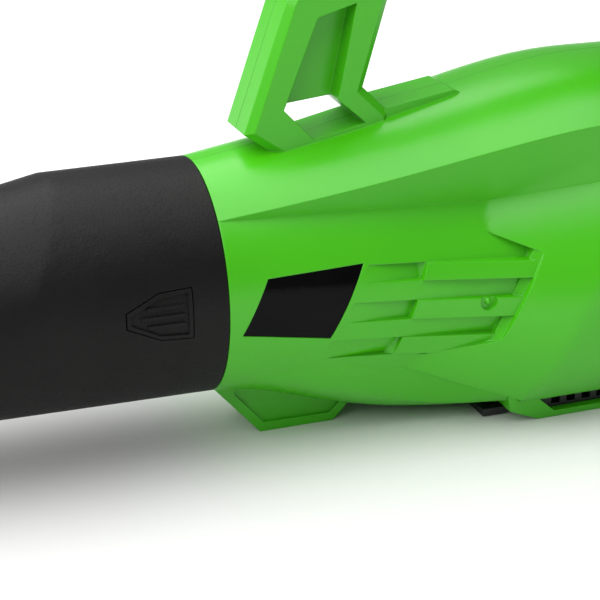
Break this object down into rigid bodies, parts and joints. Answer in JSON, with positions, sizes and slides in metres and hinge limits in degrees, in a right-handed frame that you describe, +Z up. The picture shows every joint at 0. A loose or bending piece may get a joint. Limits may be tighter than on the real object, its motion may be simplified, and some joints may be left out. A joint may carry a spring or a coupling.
{
  "type": "leaf blower",
  "caption": "Cordless axial leaf blower with a tapered black nozzle, a green faceted body with louvred sides, a top loop handle with trigger, and a slide-in battery at the rear.",
  "frame": {"origin": "on the ground under the middle of the blower's length, on its parting plane", "axes": "+X from the nozzle to the battery, +Y to the blower's right side, +Z up"},
  "size_m": [0.574, 0.1336, 0.239],
  "materials": {
    "green_shell": "moulded ABS, satin",
    "black_nozzle": "moulded polypropylene, fine spark-eroded grain",
    "plate_black": "polished ABS plate, left bare",
    "black_plastic": "moulded ABS",
    "grey_plastic": "glass-filled nylon",
    "grip_rubber": "moulded TPE",
    "steel": "bright steel",
    "spring_steel": "spring steel",
    "aluminium": "extruded aluminium",
    "copper": "enamelled copper",
    "brass": "tinned brass",
    "board_green": "solder-masked laminate",
    "cell_sleeve": "heat-shrunk sleeve on steel cells",
    "wire_red": "silicone insulation",
    "wire_black": "PVC insulation"
  },
  "bodies": {
    "housing": {"housing_left": "green_shell", "housing_right": "green_shell", "name_plate_left": "plate_black", "name_plate_right": "plate_black", "intake_grille": "black_plastic", "fan_duct": "grey_plastic", "tail_cone": "grey_plastic", "motor_bearings": "steel", "motor_can": "steel", "motor_end_bell": "aluminium", "motor_stator": "steel", "motor_windings": "copper", "motor_screws": "steel", "hand_grip": "grip_rubber", "trigger_pin": "steel", "trigger_switch": "black_plastic", "trigger_spring": "spring_steel", "boost_spring": "spring_steel", "terminal_block": "black_plastic", "terminal_blades": "brass", "control_board": "board_green", "heat_sink": "aluminium", "motor_leads": "wire_black", "battery_leads": "wire_red", "switch_leads": "wire_black", "housing_screws": "steel"},
    "nozzle": {"nozzle_tube": "black_nozzle", "release_spring_left": "spring_steel", "release_spring_right": "spring_steel"},
    "release_left": {"release_button_left": "black_nozzle"},
    "release_right": {"release_button_right": "black_nozzle"},
    "fan": {"fan_rotor": "grey_plastic", "fan_nut": "steel", "motor_shaft": "steel", "magnet_rotor": "steel"},
    "trigger_lever": {"trigger": "black_plastic"},
    "plunger": {"switch_plunger": "grey_plastic"},
    "boost": {"boost_button": "grip_rubber"},
    "battery": {"battery_case": "black_plastic", "battery_lid": "black_plastic", "battery_latch_spring": "spring_steel", "battery_cells": "cell_sleeve", "cell_links": "steel", "battery_contacts": "brass"},
    "battery_latch": {"battery_latch_button": "green_shell"}
  },
  "joints": [
    {"name": "nozzle_pull_off", "type": "slide", "parent": "housing", "child": "nozzle", "axis": [-1, 0, 0], "range_m": [0, 0.12]},
    {"name": "release_left_press", "type": "slide", "parent": "nozzle", "child": "release_left", "axis": [0, 1, 0], "range_m": [0, 0.002], "stiffness_N_per_m": 1500, "deforming": ["release_spring_left"]},
    {"name": "release_right_press", "type": "slide", "parent": "nozzle", "child": "release_right", "axis": [0, -1, 0], "range_m": [0, 0.002], "stiffness_N_per_m": 1500, "deforming": ["release_spring_right"]},
    {"name": "fan_spin", "type": "hinge", "parent": "housing", "child": "fan", "pos_m": [0.065, 0, 0.07], "axis": [1, 0, 0], "continuous": true},
    {"name": "trigger_pull", "type": "hinge", "parent": "housing", "child": "trigger_lever", "pos_m": [0.104, 0, 0.217], "axis": [0, -1, 0], "range_deg": [0, 12], "stiffness_Nm_per_rad": 1.2, "deforming": ["trigger_spring"]},
    {"name": "plunger_press", "type": "slide", "parent": "housing", "child": "plunger", "axis": [0, 0, 1], "range_m": [0, 0.0043]},
    {"name": "boost_press", "type": "slide", "parent": "housing", "child": "boost", "axis": [0.4856, 0, -0.8742], "range_m": [0, 0.002], "stiffness_N_per_m": 1200, "deforming": ["boost_spring"]},
    {"name": "battery_slide", "type": "slide", "parent": "housing", "child": "battery", "axis": [1, 0, 0], "range_m": [0, 0.115]},
    {"name": "battery_latch_press", "type": "slide", "parent": "battery", "child": "battery_latch", "axis": [0, 0, -1], "range_m": [0, 0.0025], "stiffness_N_per_m": 1200, "deforming": ["battery_latch_spring"]}
  ],
  "couplings": [
    {"joint": "plunger_press", "follows": "trigger_pull", "m_per_rad": 0.0203}
  ]
}
